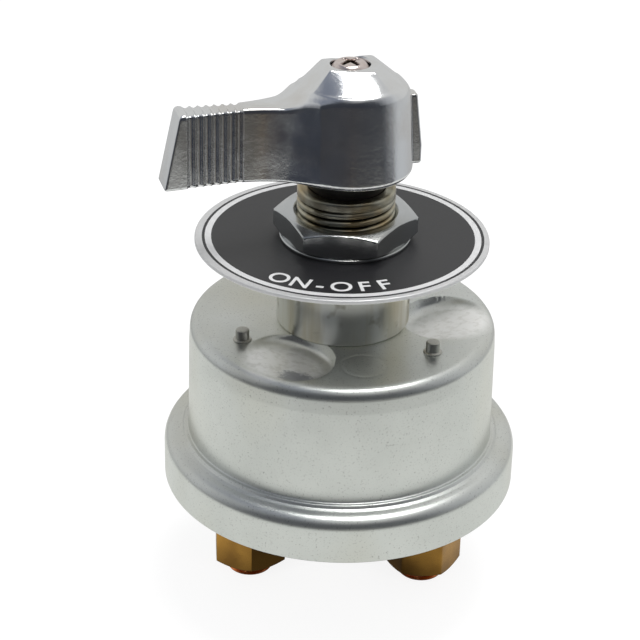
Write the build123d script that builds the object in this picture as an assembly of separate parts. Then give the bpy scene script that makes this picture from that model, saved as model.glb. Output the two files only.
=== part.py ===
"""Panel-mounted battery disconnect switch with a lever handle, in millimetres.

The origin is on the stem's axis, at the shoulder that seats against the back of the panel.
+Z points out of the panel towards the handle, and the two terminals lie along X.
"""
import os
from math import cos, pi, radians, sin, sqrt, tan

from build123d import *

# Panel stem, faceplate and panel nut
stem_thread_radius = 9.525
stem_thread_length = 11.2
stem_edge_round = 0.8
stem_bore_clearance = 0.06
boss_radius = 13.1
boss_height = 17.4
boss_edge_round = 0.5
stake_radius = 9.6
stake_neck_radius = 8.7
stake_depth = 1.5
plate_radius = 28.6
plate_thickness = 0.8
plate_hole_radius = 10.2
plate_shift = -0.6
nut_across_flats = 24.4
nut_height = 5.2
nut_chamfer_slope = 0.45
small_nut_chamfer_slope = 0.5
nut_face_share = 0.97
nut_corner_angle = -4
fit_gap = 0.03

# Pressed steel housing: can and flange
sheet = 1.5
can_top_radius = 30.1
can_foot_radius = 30.6
can_depth = 24.2
can_shoulder_round = 2.8
can_foot_round = 0.9
flange_width = 4.9
flange_slope = 0.7
flange_round = 2.0
flange_depth = 9.9
lip_width = 2.6
lip_thickness = 1.0
flange_top_drop = 2.3
flange_edge_round = 0.4

# Round impressions pressed into the top of the can
punch_radius = 9.5
punch_tilt = 12
punch_edge_round = 2.6
punch_height = 8
punch_chord = 5.4
punch_circle = 21.1
punch_places = [(-120.5, 32), (0, 152)]

# Stop pins riveted through the top of the can, and the arm that turns between them
stop_pin_radius = 1.35
stop_pin_circle = 22.2
stop_pin_rise = 2.3
stop_pin_reach = 10.4
stop_pin_angles = {"left": -150, "right": -38}
turn_angle = 90
stop_play_angle = 0.5
stop_pin_chamfer = 0.2
stop_plate_thickness = 3.0
stop_plate_radius = 9.5
stop_arm_reach = 24.4
stop_plate_gap = 1.7

# Moulded base, gasket and terminals
gasket_thickness = 1.0
gasket_width = 4.2
base_thickness = 5.45
base_edge_gap = 0.15
base_boss_radius = 9.5
base_boss_height = 3.5
base_boss_chamfer = 0.5
terminal_spacing = 35.9
stud_radius = 4.7625
stud_end = -77.5
stud_chamfer = 0.6
stud_head_flats = 14
stud_head_height = 3.5
washer_radius = 8.7
washer_thickness = 1.6
lock_nut_height = 6.0
terminal_nut_flats = 14.3
spring_washer_radius = 7.9
spring_washer_thickness = 2.4
spring_washer_slit = 0.8
spring_washer_gap = 0.1
cable_nut_height = 8.3
cable_nut_angles = {"left": -25, "right": 0}
lock_nut_extra_angle = 20

# Drive shaft and what it carries inside the can
shaft_radius = 7.5
shaft_rise = 3.27
shaft_tail_radius = 6.5
shaft_square = 9.0
square_corner_share = 0.66
square_rise = 14.0
shaft_spigot_radius = 2.5
seal_height = 3.0
seal_wire = 0.9
thrust_washer_radius = 9.7
thrust_washer_thickness = 0.8
ring_radius = 8.8
ring_thickness = 1.2
ring_groove_radius = 5.6
ring_opening = 9.2
running_gap = 0.15
carrier_radius = 13.0
carrier_height = 14.25
carrier_slot_height = 6.3
carrier_web = 1.2
carrier_slot_gap = 0.2
bar_length = 50
bar_width = 12
bar_thickness = 3.0
bar_lift = 0.05
bar_hole_gap = 0.4
bar_corner_round = 2.5
spring_radius = 4.6
spring_wire = 0.6
spring_turns = 3
clip_radius = 5.0
clip_thickness = 0.8
clip_opening = 3.4
clip_groove_depth = 0.5
spigot_end_gap = 0.8

# Cast handle: the lever lies along its own +X and is then turned to its place
lever_angle = 197
hub_radius = 11.5
hub_shift = -0.6
hub_foot_chamfer = 1.1
hub_land_height = 21.5
hub_edge_height = {"ramp": 15.6, "grip": 16.7, "side": 17.4, "tail": 15.6}
hub_edge_step = 0.4
land_corners = [(4.8, 3.1), (-3.0, 6.0), (-5.6, 2.6)]
edge_angles = [26, 120, 160]
arm_height = 14.75
ramp_end = 12.0
ramp_end_half_width = 5.5
ramp_depth = 2.0
arm_flank = [(7.9, 7.9), (10.6, 5.4), (13.6, 3.8), (17.0, 2.75), (20.9, 2.1)]
grip_start = 20.9
grip_half_width_start = 2.25
grip_half_width_end = 3.05
grip_top_reach = 32.5
grip_foot_reach = 35.6
rib_pitch = 1.55
rib_grooves = 7
groove_radius = 0.72
groove_sink = 0.25
lug_half_width = 1.5
lug_top_reach = 13.6
lug_foot_reach = 14.9
lug_foot_lift = 0.3
lug_upright = 4
lug_height = 14.6
socket_gap = 0.08
counterbore_radius = 3.75
counterbore_depth = 2.75
screw_hole_radius = 2.4

# Handle screw with its lock washer
screw_head_radius = 3.5
screw_head_round = 1.1
screw_head_height = 2.25
screw_radius = 2.085
screw_length = 14.0
screw_recess_depth = 1.5
screw_recess_width = 0.9
screw_recess_span = 4.4
screw_recess_tip = 0.4
screw_recess_angle = 45
screw_bite_gap = 1.5
lock_washer_thickness = 0.9
lock_washer_slit = 0.5

# Levels worked out from the sizes above
can_top = -boss_height
can_foot = can_top - can_depth
flange_radius = can_foot_radius + flange_width
flange_bottom = can_foot - flange_slope - flange_depth
seat_under_flange = can_foot - flange_slope - flange_top_drop
gasket_low = seat_under_flange - gasket_thickness - fit_gap
base_top = gasket_low - fit_gap
base_bottom = base_top - base_thickness
boss_foot = base_bottom - base_boss_height
stake_foot = can_top - sheet - stake_depth
terminal_x = {"left": -terminal_spacing / 2, "right": terminal_spacing / 2}
stud_head_top = base_top + stud_head_height
thrust_top = stake_foot - running_gap
thrust_low = thrust_top - thrust_washer_thickness
ring_low = thrust_low - fit_gap - ring_thickness
stop_plate_top = ring_low - stop_plate_gap
stop_plate_low = stop_plate_top - stop_plate_thickness
carrier_top = stop_plate_low - fit_gap
carrier_low = carrier_top - carrier_height
bar_low = stud_head_top + bar_lift
bar_top = bar_low + bar_thickness
slot_top = carrier_low + carrier_slot_height
clip_top = bar_low - fit_gap
neck_top = stem_thread_length + shaft_rise
handle_bottom = neck_top + fit_gap
stem_bore = shaft_radius + stem_bore_clearance
screw_seat = handle_bottom + hub_land_height - counterbore_depth


def rod(radius, low, high):
    """Round bar on the Z axis between two levels."""
    return Pos(0, 0, low) * extrude(Circle(radius), high - low)


def ring(inner, outer, low, high):
    """Flat ring on the Z axis between two levels."""
    return Pos(0, 0, low) * extrude(Circle(outer) - Circle(inner), high - low)


def square_bar(side, low, high):
    """Square bar on the Z axis between two levels."""
    return Pos(0, 0, low) * extrude(Rectangle(side, side), high - low)


def turned(outline):
    """Solid turned about Z from a closed outline of (radius, height) points."""
    face = make_face(Plane.XZ * Polyline(*outline, close=True))
    return revolve(face, Axis.Z)


def hex_nut(across_flats, hole, low, high, chamfer, corner_angle=0):
    """Hexagon nut with both faces chamfered round and a plain bore."""
    corner = across_flats / sqrt(3)
    face_radius = across_flats / 2 * nut_face_share
    block = Pos(0, 0, low) * Rot(0, 0, corner_angle) * extrude(RegularPolygon(corner, 6), high - low)
    rise = (corner - face_radius) * chamfer
    envelope = turned([
        (0, low), (face_radius, low), (corner, low + rise),
        (corner, high - rise), (face_radius, high), (0, high),
    ])
    return (block & envelope) - rod(hole, low - 1, high + 1)


def mounting_stem():
    """Turned stem: panel shoulder, thread for the panel nut and a tail staked under the can."""
    crest = stem_thread_radius
    outline = [
        (stem_bore, stake_foot), (stake_radius, stake_foot), (stake_radius, can_top - sheet),
        (stake_neck_radius, can_top - sheet), (stake_neck_radius, can_top), (boss_radius, can_top),
        (boss_radius, -boss_edge_round), (boss_radius - boss_edge_round, 0), (crest, 0),
        (crest, stem_thread_length - stem_edge_round), (crest - stem_edge_round, stem_thread_length),
        (stem_bore, stem_thread_length),
    ]
    return turned(outline)


def faceplate():
    """Flat legend plate held on the panel by the nut."""
    return Pos(plate_shift, 0, 0) * ring(plate_hole_radius, plate_radius, 0, plate_thickness)


def panel_nut():
    """Thin hexagon nut that clamps the panel."""
    low = plate_thickness
    return hex_nut(nut_across_flats, stem_thread_radius + fit_gap, low, low + nut_height,
                   nut_chamfer_slope, nut_corner_angle)


def punch(place_angle, deep_angle, grow):
    """Flat round punch with a rounded edge, tilted so that it bites deepest towards deep_angle."""
    tool = rod(punch_radius + grow, -grow, punch_height)
    tool = fillet(tool.edges().group_by(Axis.Z)[0], punch_edge_round + grow)
    depth = punch_chord * tan(radians(punch_tilt))
    centre = Vector(punch_circle, 0).rotate(Axis.Z, place_angle)
    place = Pos(centre.X, centre.Y, can_top - depth) * Rot(0, 0, deep_angle) * Rot(0, punch_tilt, 0)
    return place * tool


def rounded(face, x, z, radius):
    """Face in the XZ plane with the corner nearest to a point rounded."""
    return fillet(face.vertices().sort_by_distance((x, 0, z))[0], radius)


def can_body(grow):
    """Revolved form of the can and flange: its outside, or its inside where grow is minus the sheet."""
    top = can_top + grow
    rim = flange_radius + grow
    if grow:
        outline = [
            (0, top), (can_top_radius + grow, top), (can_foot_radius + grow, seat_under_flange),
            (rim, seat_under_flange), (rim, flange_bottom + lip_thickness),
            (rim + sheet - lip_width, flange_bottom + lip_thickness), (rim + sheet - lip_width, flange_bottom - 1),
            (0, flange_bottom - 1),
        ]
    else:
        outline = [
            (0, top), (can_top_radius, top), (can_foot_radius, can_foot), (rim, can_foot - flange_slope),
            (rim, flange_bottom), (0, flange_bottom),
        ]
    face = make_face(Plane.XZ * Polyline(*outline, close=True))
    face = rounded(face, can_top_radius + grow, top, can_shoulder_round + grow)
    if not grow:
        face = rounded(face, can_foot_radius, can_foot, can_foot_round)
        face = rounded(face, rim, can_foot - flange_slope, flange_round)
        face = rounded(face, rim, flange_bottom, flange_edge_round)
    return revolve(face, Axis.Z)


def stop_pin_place(side):
    """Location of a stop pin in the can's top."""
    centre = Vector(stop_pin_circle, 0).rotate(Axis.Z, stop_pin_angles[side])
    return Pos(centre.X, centre.Y, 0)


def housing_shell():
    """Drawn can with its wide flange, the two pressed impressions and the lip rolled in over the base."""
    outside = can_body(0)
    inside = can_body(-sheet)
    for place_angle, deep_angle in punch_places:
        outside -= punch(place_angle, deep_angle, 0)
        inside -= punch(place_angle, deep_angle, sheet)
    shell = outside - inside - rod(stake_neck_radius + fit_gap, can_top - 4, can_top + 1)
    for side in stop_pin_angles:
        shell -= stop_pin_place(side) * rod(stop_pin_radius + fit_gap, can_top - 4, can_top + 1)
    return shell


def stop_pin(side):
    """Steel pin riveted through the can: its end limits the turn of the arm inside."""
    high = can_top + stop_pin_rise
    pin = rod(stop_pin_radius, can_top - stop_pin_reach, high)
    return stop_pin_place(side) * chamfer(pin.edges().group_by(Axis.Z)[-1], stop_pin_chamfer)


def base_gasket():
    """Flat gasket between the flange and the base."""
    outer = flange_radius - sheet - base_edge_gap
    return ring(outer - gasket_width, outer, gasket_low, gasket_low + gasket_thickness)


def base_plate():
    """Moulded insulating base with a raised seat under each terminal."""
    plate = rod(flange_radius - sheet - base_edge_gap, base_bottom, base_top)
    for x in terminal_x.values():
        seat = rod(base_boss_radius, boss_foot, base_bottom)
        seat = chamfer(seat.edges().group_by(Axis.Z)[0], base_boss_chamfer)
        plate += Pos(x, 0, 0) * seat
    for x in terminal_x.values():
        plate -= Pos(x, 0, 0) * rod(stud_radius + fit_gap, boss_foot - 1, base_top + 1)
    return plate


def terminal_stud(side):
    """Copper stud with a flat hexagon head that the contact bar lands on."""
    shank = rod(stud_radius, stud_end, base_top)
    shank = chamfer(shank.edges().group_by(Axis.Z)[0], stud_chamfer)
    head = Pos(0, 0, base_top) * extrude(RegularPolygon(stud_head_flats / sqrt(3), 6), stud_head_height)
    return Pos(terminal_x[side], 0, 0) * (shank + head)


def terminal_stack(side):
    """Washers and nuts on one stud, from the base outwards, by node name."""
    bore = stud_radius + fit_gap
    pieces = {}
    level = boss_foot
    place = Pos(terminal_x[side], 0, 0)
    pieces["seat_washer_" + side] = place * ring(bore, washer_radius, level - washer_thickness, level)
    level -= washer_thickness
    nut = hex_nut(terminal_nut_flats, bore, level - lock_nut_height, level, small_nut_chamfer_slope,
                  cable_nut_angles[side] + lock_nut_extra_angle)
    pieces["lock_nut_" + side] = place * nut
    level -= lock_nut_height
    pieces["cable_washer_" + side] = place * ring(bore, washer_radius, level - washer_thickness, level)
    level -= washer_thickness
    spring = ring(bore + spring_washer_gap, spring_washer_radius, level - spring_washer_thickness, level)
    slit = Pos(spring_washer_radius, 0, level - spring_washer_thickness / 2) * Rot(35, 0, 0)
    spring -= slit * Box(
        2.4 * (spring_washer_radius - stud_radius), spring_washer_slit, 3 * spring_washer_thickness)
    pieces["spring_washer_" + side] = place * spring
    level -= spring_washer_thickness
    nut = hex_nut(terminal_nut_flats, bore, level - cable_nut_height, level, small_nut_chamfer_slope,
                  cable_nut_angles[side])
    pieces["cable_nut_" + side] = place * nut
    return pieces


def drive_shaft():
    """Turned shaft: square for the handle, round neck in the stem, then a square and a spigot inside the can."""
    square_top = neck_top + square_rise
    shaft = rod(shaft_radius, stake_foot, neck_top)
    drive = square_bar(shaft_square, neck_top, square_top) & rod(
        square_corner_share * shaft_square, neck_top, square_top)
    shaft += Rot(0, 0, lever_angle) * drive
    shaft += rod(shaft_tail_radius, stop_plate_top, stake_foot)
    shaft += square_bar(shaft_square, slot_top + carrier_web, stop_plate_top) & rod(
        shaft_tail_radius, slot_top + carrier_web, stop_plate_top)
    shaft += rod(shaft_spigot_radius, base_top + spigot_end_gap, slot_top + carrier_web)
    groove = shaft_radius - 2 * seal_wire - 2 * fit_gap
    shaft -= ring(groove, shaft_radius + 1, seal_height - 1.25 * seal_wire, seal_height + 1.25 * seal_wire)
    shaft -= ring(ring_groove_radius, shaft_radius + 1, ring_low - fit_gap, thrust_low)
    shaft -= ring(shaft_spigot_radius - clip_groove_depth, shaft_radius, clip_top - clip_thickness - fit_gap, clip_top + fit_gap)
    shaft -= rod(screw_radius + 0.02, square_top - screw_length, square_top + 1)
    return shaft


def shaft_seal():
    """Rubber ring in the shaft's groove that keeps water out of the stem."""
    return Pos(0, 0, seal_height) * Torus(shaft_radius - seal_wire - 0.02, seal_wire)


def open_ring(inner, outer, low, high, opening):
    """Flat ring with a gap, which snaps on from the side."""
    gap = Pos(outer, 0, (low + high) / 2) * Box(2 * outer, opening, 3 * (high - low))
    return ring(inner, outer, low, high) - gap


def stop_plate():
    """Steel plate on the shaft's square with one arm, which swings between the two pins."""
    pin_half = stop_pin_radius / stop_pin_circle * 180 / pi
    free = stop_pin_angles["right"] - stop_pin_angles["left"]
    arm_half = (free - turn_angle) / 2 - pin_half - stop_play_angle
    arm_width = 2 * stop_pin_circle * sin(radians(arm_half))
    rest_angle = stop_pin_angles["left"] + pin_half + stop_play_angle + arm_half
    plate = rod(stop_plate_radius, stop_plate_low, stop_plate_top)
    arm = Pos(stop_arm_reach / 2, 0, (stop_plate_low + stop_plate_top) / 2) * Box(
        stop_arm_reach, arm_width, stop_plate_thickness)
    plate += Rot(0, 0, rest_angle) * arm
    return plate - square_bar(shaft_square + 2 * fit_gap, stop_plate_low - 1, stop_plate_top + 1)


def contact_carrier():
    """Moulded block on the shaft's square, with a slot that holds the contact bar and a pocket for its spring."""
    body = rod(carrier_radius, carrier_low, carrier_top)
    slot = Pos(0, 0, (carrier_low + slot_top) / 2 - 1) * Box(
        2 * carrier_radius + 2, bar_width + 2 * carrier_slot_gap, carrier_slot_height + 2)
    body -= slot
    body -= square_bar(shaft_square + 2 * fit_gap, slot_top + carrier_web, carrier_top + 1)
    return body - rod(shaft_spigot_radius + fit_gap, slot_top - 1, slot_top + 2)


def contact_bar():
    """Copper bar that bridges the two stud heads."""
    bar = Pos(0, 0, (bar_low + bar_top) / 2) * Box(bar_length, bar_width, bar_thickness)
    bar = fillet(bar.edges().filter_by(Axis.Z), bar_corner_round)
    return bar - rod(shaft_spigot_radius + bar_hole_gap, bar_low - 1, bar_top + 1)


def contact_spring():
    """Compression spring that presses the bar on the stud heads."""
    height = slot_top - bar_top - 2 * spring_wire - 2 * fit_gap
    path = Helix(pitch=height / spring_turns, height=height, radius=spring_radius)
    section = Plane(origin=path @ 0, z_dir=path % 0) * Circle(spring_wire)
    coil = sweep(section, path=path, is_frenet=True)
    return Pos(0, 0, bar_top + spring_wire + fit_gap) * coil


def hub():
    """Hub of the handle: round at the foot, with a faceted crown up to the land around the screw."""
    angles = edge_angles + [360 - a for a in reversed(edge_angles)]
    land = land_corners + [(x, -y) for x, y in reversed(land_corners)]
    levels = hub_edge_height
    corner_levels = [levels["grip"], levels["side"] - hub_edge_step, levels["tail"] + hub_edge_step]
    corner_levels += list(reversed(corner_levels))
    rear = (corner_levels[1] + corner_levels[2]) / 2
    middle_levels = [levels["side"], rear, levels["tail"], rear, levels["side"], levels["ramp"]]

    def point(angle, height, radius=hub_radius):
        return Vector(hub_shift + radius * cos(radians(angle)), radius * sin(radians(angle)), handle_bottom + height)

    foot_edges = []
    wall_edges = []
    edge_edges = []
    land_edges = []
    for k, angle in enumerate(angles):
        after = (k + 1) % len(angles)
        end_angle = angles[after] + (360 if after == 0 else 0)
        middle = (angle + end_angle) / 2
        low = hub_radius - hub_foot_chamfer
        foot_edges.append(ThreePointArc(point(angle, 0, low), point(middle, 0, low), point(end_angle, 0, low)))
        wall_edges.append(ThreePointArc(
            point(angle, hub_foot_chamfer), point(middle, hub_foot_chamfer), point(end_angle, hub_foot_chamfer)))
        edge_edges.append(ThreePointArc(
            point(angle, corner_levels[k]), point(middle, middle_levels[k]), point(end_angle, corner_levels[after])))
        start = Vector(land[k][0], land[k][1], handle_bottom + hub_land_height)
        end = Vector(land[after][0], land[after][1], handle_bottom + hub_land_height)
        land_edges.append(Line(start, end))
    sections = [Wire(foot_edges), Wire(wall_edges), Wire(edge_edges), Wire(land_edges)]
    return Solid.make_loft(sections, ruled=True)


def lever_arm():
    """Arm from the hub to the ribbed grip, with the ramp that runs up to the crown."""
    flank = Spline(*[(x, y) for x, y in arm_flank])
    other = Spline(*[(x, -y) for x, y in arm_flank])
    outline = [flank, Line(flank @ 1, other @ 1), other, Line(other @ 0, flank @ 0)]
    arm = Pos(0, 0, handle_bottom) * extrude(make_face(outline), arm_height)
    low = handle_bottom + arm_height - ramp_depth
    start = land_corners[0][0]
    steep = Plane(origin=(start, 0, low), x_dir=(0, 1, 0), z_dir=(1, 0, 0))
    rise = handle_bottom + hub_land_height - low
    near = steep * Pos(0, rise / 2) * Rectangle(2 * land_corners[0][1], rise)
    flat = Plane(origin=(ramp_end, 0, low), x_dir=(0, 1, 0), z_dir=(1, 0, 0))
    far = flat * Pos(0, ramp_depth / 2) * Rectangle(2 * ramp_end_half_width, ramp_depth)
    root = Polyline(other @ 0, (start, -arm_flank[0][1]), (start, arm_flank[0][1]), flank @ 0)
    over_arm = make_face([flank, Line(flank @ 1, other @ 1), other, root])
    ramp = loft([near, far], ruled=True) & (Pos(0, 0, handle_bottom) * extrude(over_arm, hub_land_height))
    return arm + ramp


def grip():
    """Flared grip with upright ribs on both sides and across its top."""
    span = grip_foot_reach - grip_start
    top = handle_bottom + arm_height
    block = Pos(0, 0, handle_bottom) * extrude(make_face(Polyline(
        (grip_start, -grip_half_width_start), (grip_foot_reach, -grip_half_width_end),
        (grip_foot_reach, grip_half_width_end), (grip_start, grip_half_width_start), close=True)), arm_height)
    end_cut = make_face(Plane.XZ * Polyline(
        (grip_top_reach, top + 1), (grip_top_reach, top), (grip_foot_reach, handle_bottom),
        (grip_foot_reach + 5, handle_bottom), (grip_foot_reach + 5, top + 1), close=True))
    block -= extrude(end_cut, 20, both=True)
    flare = (grip_half_width_end - grip_half_width_start) / span
    for k in range(rib_grooves):
        along = (k + 0.5) * rib_pitch
        x = grip_start + along
        side = grip_half_width_start + flare * along + groove_radius - groove_sink
        for y in (side, -side):
            block -= Pos(x, y, 0) * rod(groove_radius, handle_bottom - 1, top + 1)
        across = Pos(x, 0, top + groove_radius - groove_sink) * Rot(90, 0, 0)
        block -= across * Cylinder(groove_radius, 20)
    return block


def pointer_lug():
    """Short upright lug on the hub, opposite the lever."""
    outline = make_face(Plane.XZ * Polyline(
        (0, handle_bottom + lug_foot_lift), (-lug_foot_reach, handle_bottom + lug_foot_lift),
        (-lug_foot_reach, handle_bottom + lug_upright),
        (-lug_top_reach, handle_bottom + lug_height), (0, handle_bottom + lug_height), close=True))
    return extrude(outline, lug_half_width, both=True)


def handle():
    """Cast lever handle with a square socket for the shaft and a counterbore for the screw."""
    body = hub() + lever_arm() + grip() + pointer_lug()
    top = handle_bottom + hub_land_height
    body -= square_bar(shaft_square + 2 * socket_gap, handle_bottom - 1, neck_top + square_rise + 0.4)
    body -= rod(screw_hole_radius, handle_bottom, top)
    body -= rod(counterbore_radius, screw_seat, top + 1)
    return Rot(0, 0, lever_angle) * body


def handle_screw():
    """Pan head screw with a cross recess, into the end of the shaft."""
    seat = screw_seat + lock_washer_thickness
    head = rod(screw_head_radius, seat, seat + screw_head_height)
    head = fillet(head.edges().group_by(Axis.Z)[-1], screw_head_round)
    shank = rod(screw_radius, neck_top + square_rise - screw_length + screw_bite_gap, seat)
    cross = Box(screw_recess_span, screw_recess_width, 2 * screw_recess_depth)
    cross += Box(screw_recess_width, screw_recess_span, 2 * screw_recess_depth)
    cross &= Cone(screw_recess_span / 2, screw_recess_tip, 2 * screw_recess_depth, rotation=(180, 0, 0))
    return head + shank - Pos(0, 0, seat + screw_head_height) * Rot(0, 0, screw_recess_angle) * cross


def screw_lock_washer():
    """Split lock washer under the screw's head."""
    high = screw_seat + lock_washer_thickness
    return open_ring(screw_radius + 0.1, screw_head_radius, screw_seat, high, lock_washer_slit)


def all_pieces():
    """Every piece of the switch by node name."""
    pieces = {
        "handle": handle(),
        "handle_screw": handle_screw(),
        "screw_lock_washer": screw_lock_washer(),
        "faceplate": faceplate(),
        "panel_nut": panel_nut(),
        "mounting_stem": mounting_stem(),
        "housing_shell": housing_shell(),
        "base_gasket": base_gasket(),
        "base_plate": base_plate(),
        "drive_shaft": drive_shaft(),
        "shaft_seal": shaft_seal(),
        "thrust_washer": ring(shaft_tail_radius + fit_gap, thrust_washer_radius, thrust_low, thrust_top),
        "retaining_ring": open_ring(
            ring_groove_radius + fit_gap, ring_radius, ring_low, thrust_low - fit_gap, ring_opening),
        "stop_plate": stop_plate(),
        "contact_carrier": contact_carrier(),
        "contact_spring": contact_spring(),
        "contact_bar": contact_bar(),
        "bar_clip": open_ring(
            shaft_spigot_radius - clip_groove_depth + fit_gap, clip_radius, clip_top - clip_thickness, clip_top,
            clip_opening),
    }
    for side in terminal_x:
        pieces["stop_pin_" + side] = stop_pin(side)
        pieces["terminal_stud_" + side] = terminal_stud(side)
        pieces.update(terminal_stack(side))
    return pieces


os.makedirs("parts", exist_ok=True)
for name, piece in all_pieces().items():
    export_step(piece, "parts/" + name + ".step")
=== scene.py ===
from math import cos, pi, radians, sin, sqrt

import bmesh
import bpy
import numpy as np
from mathutils import Matrix, Vector


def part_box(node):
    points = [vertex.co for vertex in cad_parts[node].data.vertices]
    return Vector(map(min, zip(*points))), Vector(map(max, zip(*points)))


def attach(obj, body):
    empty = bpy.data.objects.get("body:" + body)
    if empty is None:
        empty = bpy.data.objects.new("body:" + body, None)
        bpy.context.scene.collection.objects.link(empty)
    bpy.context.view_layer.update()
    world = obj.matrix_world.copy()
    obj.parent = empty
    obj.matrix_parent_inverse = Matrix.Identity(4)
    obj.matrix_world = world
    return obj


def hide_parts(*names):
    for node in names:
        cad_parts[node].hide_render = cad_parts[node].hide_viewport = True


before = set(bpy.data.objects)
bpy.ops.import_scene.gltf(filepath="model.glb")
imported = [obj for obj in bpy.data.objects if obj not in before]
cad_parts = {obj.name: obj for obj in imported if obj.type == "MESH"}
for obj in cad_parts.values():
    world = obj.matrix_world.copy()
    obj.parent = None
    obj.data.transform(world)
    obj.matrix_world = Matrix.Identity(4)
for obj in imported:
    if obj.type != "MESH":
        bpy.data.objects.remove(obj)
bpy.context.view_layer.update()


# Camera
# It stands in front of the switch and looks down on it by 28 degrees, with a long lens.
# The numbers follow from the ellipses of the faceplate and the flange.
MM = 0.001
lens_pixels = 2109.44
frame_pixels = 640
sensor_mm = 36
camera_place = Vector((0, -367.99, 179.81)) * MM
look_down = 0.49443
look_aside = -0.01209
lean = 0.0253
forward = Vector((sin(look_aside) * cos(look_down), cos(look_aside) * cos(look_down), -sin(look_down)))
level = forward.cross(Vector((0, 0, 1))).normalized()
upright = level.cross(forward)
right = level * cos(lean) + upright * sin(lean)
up = upright * cos(lean) - level * sin(lean)
camera_data = bpy.data.cameras.new("camera")
camera_data.sensor_width = sensor_mm
camera_data.lens = sensor_mm * lens_pixels / frame_pixels
camera_data.clip_start = 0.01
camera_data.clip_end = 20
camera = bpy.data.objects.new("camera", camera_data)
bpy.context.scene.collection.objects.link(camera)
turn = Matrix((right, up, -forward)).transposed().to_4x4()
camera.matrix_world = Matrix.Translation(camera_place) @ turn
bpy.context.scene.camera = camera
bpy.context.scene.view_settings.view_transform = "Standard"


# Studio
# A room with a pale back, a dark front and a ceiling that is dim on the left, for the metal to reflect,
# with one soft lamp overhead and two in front. The camera sees white behind the floor.
def node(tree, kind, inputs=None, **settings):
    """One shader node, with its inputs given as numbers, colours or other nodes' outputs."""
    made = tree.nodes.new("ShaderNode" + kind)
    for key, value in settings.items():
        setattr(made, key, value)
    for key, value in (inputs or {}).items():
        if isinstance(value, bpy.types.NodeSocket):
            tree.links.new(value, made.inputs[key])
        else:
            made.inputs[key].default_value = value
    return made


def ramp(tree, factor, stops, interpolation="LINEAR"):
    """Colour ramp from a list of (position, grey or colour)."""
    made = node(tree, "ValToRGB", {"Fac": factor})
    made.color_ramp.interpolation = interpolation
    while len(made.color_ramp.elements) < len(stops):
        made.color_ramp.elements.new(0.5)
    for element, (position, colour) in zip(made.color_ramp.elements, stops):
        element.position = position
        element.color = (colour, colour, colour, 1) if isinstance(colour, (int, float)) else (*colour, 1)
    return made.outputs["Color"]


def fade(tree, value, start, end, first=0.0, last=1.0):
    """Number that goes from first to last while a value goes from start to end."""
    limits = {"From Min": start, "From Max": end, "To Min": first, "To Max": last}
    return node(tree, "MapRange", {"Value": value, **limits}).outputs["Result"]


def maths(tree, operation, first, second):
    """Result of one operation on two numbers or number sockets."""
    return node(tree, "Math", {0: first, 1: second}, operation=operation).outputs[0]


def blend(tree, factor, first, second):
    """Mix of two colours or colour sockets."""
    colours = [c if isinstance(c, bpy.types.NodeSocket) else (*c, 1) for c in (first, second)]
    return node(tree, "Mix", {0: factor, 6: colours[0], 7: colours[1]}, data_type="RGBA").outputs[2]


def off_axis(tree, place, axis=(0, 0)):
    """Distance from an upright axis, whose place is given in mm."""
    spot = node(tree, "SeparateXYZ", {"Vector": place})
    flat = node(tree, "CombineXYZ", {"X": spot.outputs["X"], "Y": spot.outputs["Y"]})
    foot = (axis[0] * MM, axis[1] * MM, 0)
    return node(tree, "VectorMath", {0: flat.outputs[0], 1: foot}, operation="DISTANCE").outputs["Value"]


room = bpy.data.worlds.new("room")
room.use_nodes = True
bpy.context.scene.world = room
tree = room.node_tree
tree.nodes.clear()
rays = node(tree, "LightPath")
direction = node(tree, "SeparateXYZ", {"Vector": node(tree, "TexCoord").outputs["Generated"]})
walls = ramp(tree, fade(tree, direction.outputs["Y"], -1.0, 1.0), [
    (0.0, (0.035, 0.038, 0.048)), (0.20, (0.05, 0.055, 0.065)), (0.36, (0.34, 0.35, 0.37)),
    (0.55, (0.58, 0.59, 0.60)), (0.80, (0.64, 0.64, 0.63)), (1.0, (0.64, 0.64, 0.63)),
])
from_left = fade(tree, direction.outputs["X"], -0.30, 0.05)
ceiling = ramp(tree, from_left, [(0.0, (0.20, 0.22, 0.27)), (1.0, (0.60, 0.60, 0.60))])
walls = blend(tree, fade(tree, direction.outputs["Z"], 0.62, 0.85), walls, ceiling)
lit_room = node(tree, "Background", {"Color": walls, "Strength": 1.0})
white = node(tree, "Background", {"Color": (1, 1, 1, 1), "Strength": 1.0})
open_view = maths(tree, "MAXIMUM", rays.outputs["Is Camera Ray"], rays.outputs["Is Transmission Ray"])
seen = node(tree, "MixShader", {0: open_view, 1: lit_room.outputs[0], 2: white.outputs[0]})
node(tree, "OutputWorld", {"Surface": seen.outputs[0]})
lamp_aim = Vector((0, 0, -0.02))


def lamp(name, place, size, watts, in_reflections):
    """Soft lamp that points at the middle of the switch."""
    data = bpy.data.lights.new(name, "AREA")
    data.shape = "RECTANGLE"
    data.size, data.size_y = size
    data.energy = watts
    made = bpy.data.objects.new(name, data)
    bpy.context.scene.collection.objects.link(made)
    made.location = place
    made.rotation_euler = (lamp_aim - Vector(place)).to_track_quat("-Z", "Y").to_euler()
    made.visible_glossy = in_reflections


lamp("lamp_overhead", (0.10, 0.06, 0.72), (0.32, 0.36), 3.4, True)
lamp("lamp_front_left", (-0.75, -0.95, 0.55), (0.7, 0.7), 7.0, False)
lamp("lamp_front_right", (0.85, -0.85, 0.45), (0.7, 0.7), 6.0, False)


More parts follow.
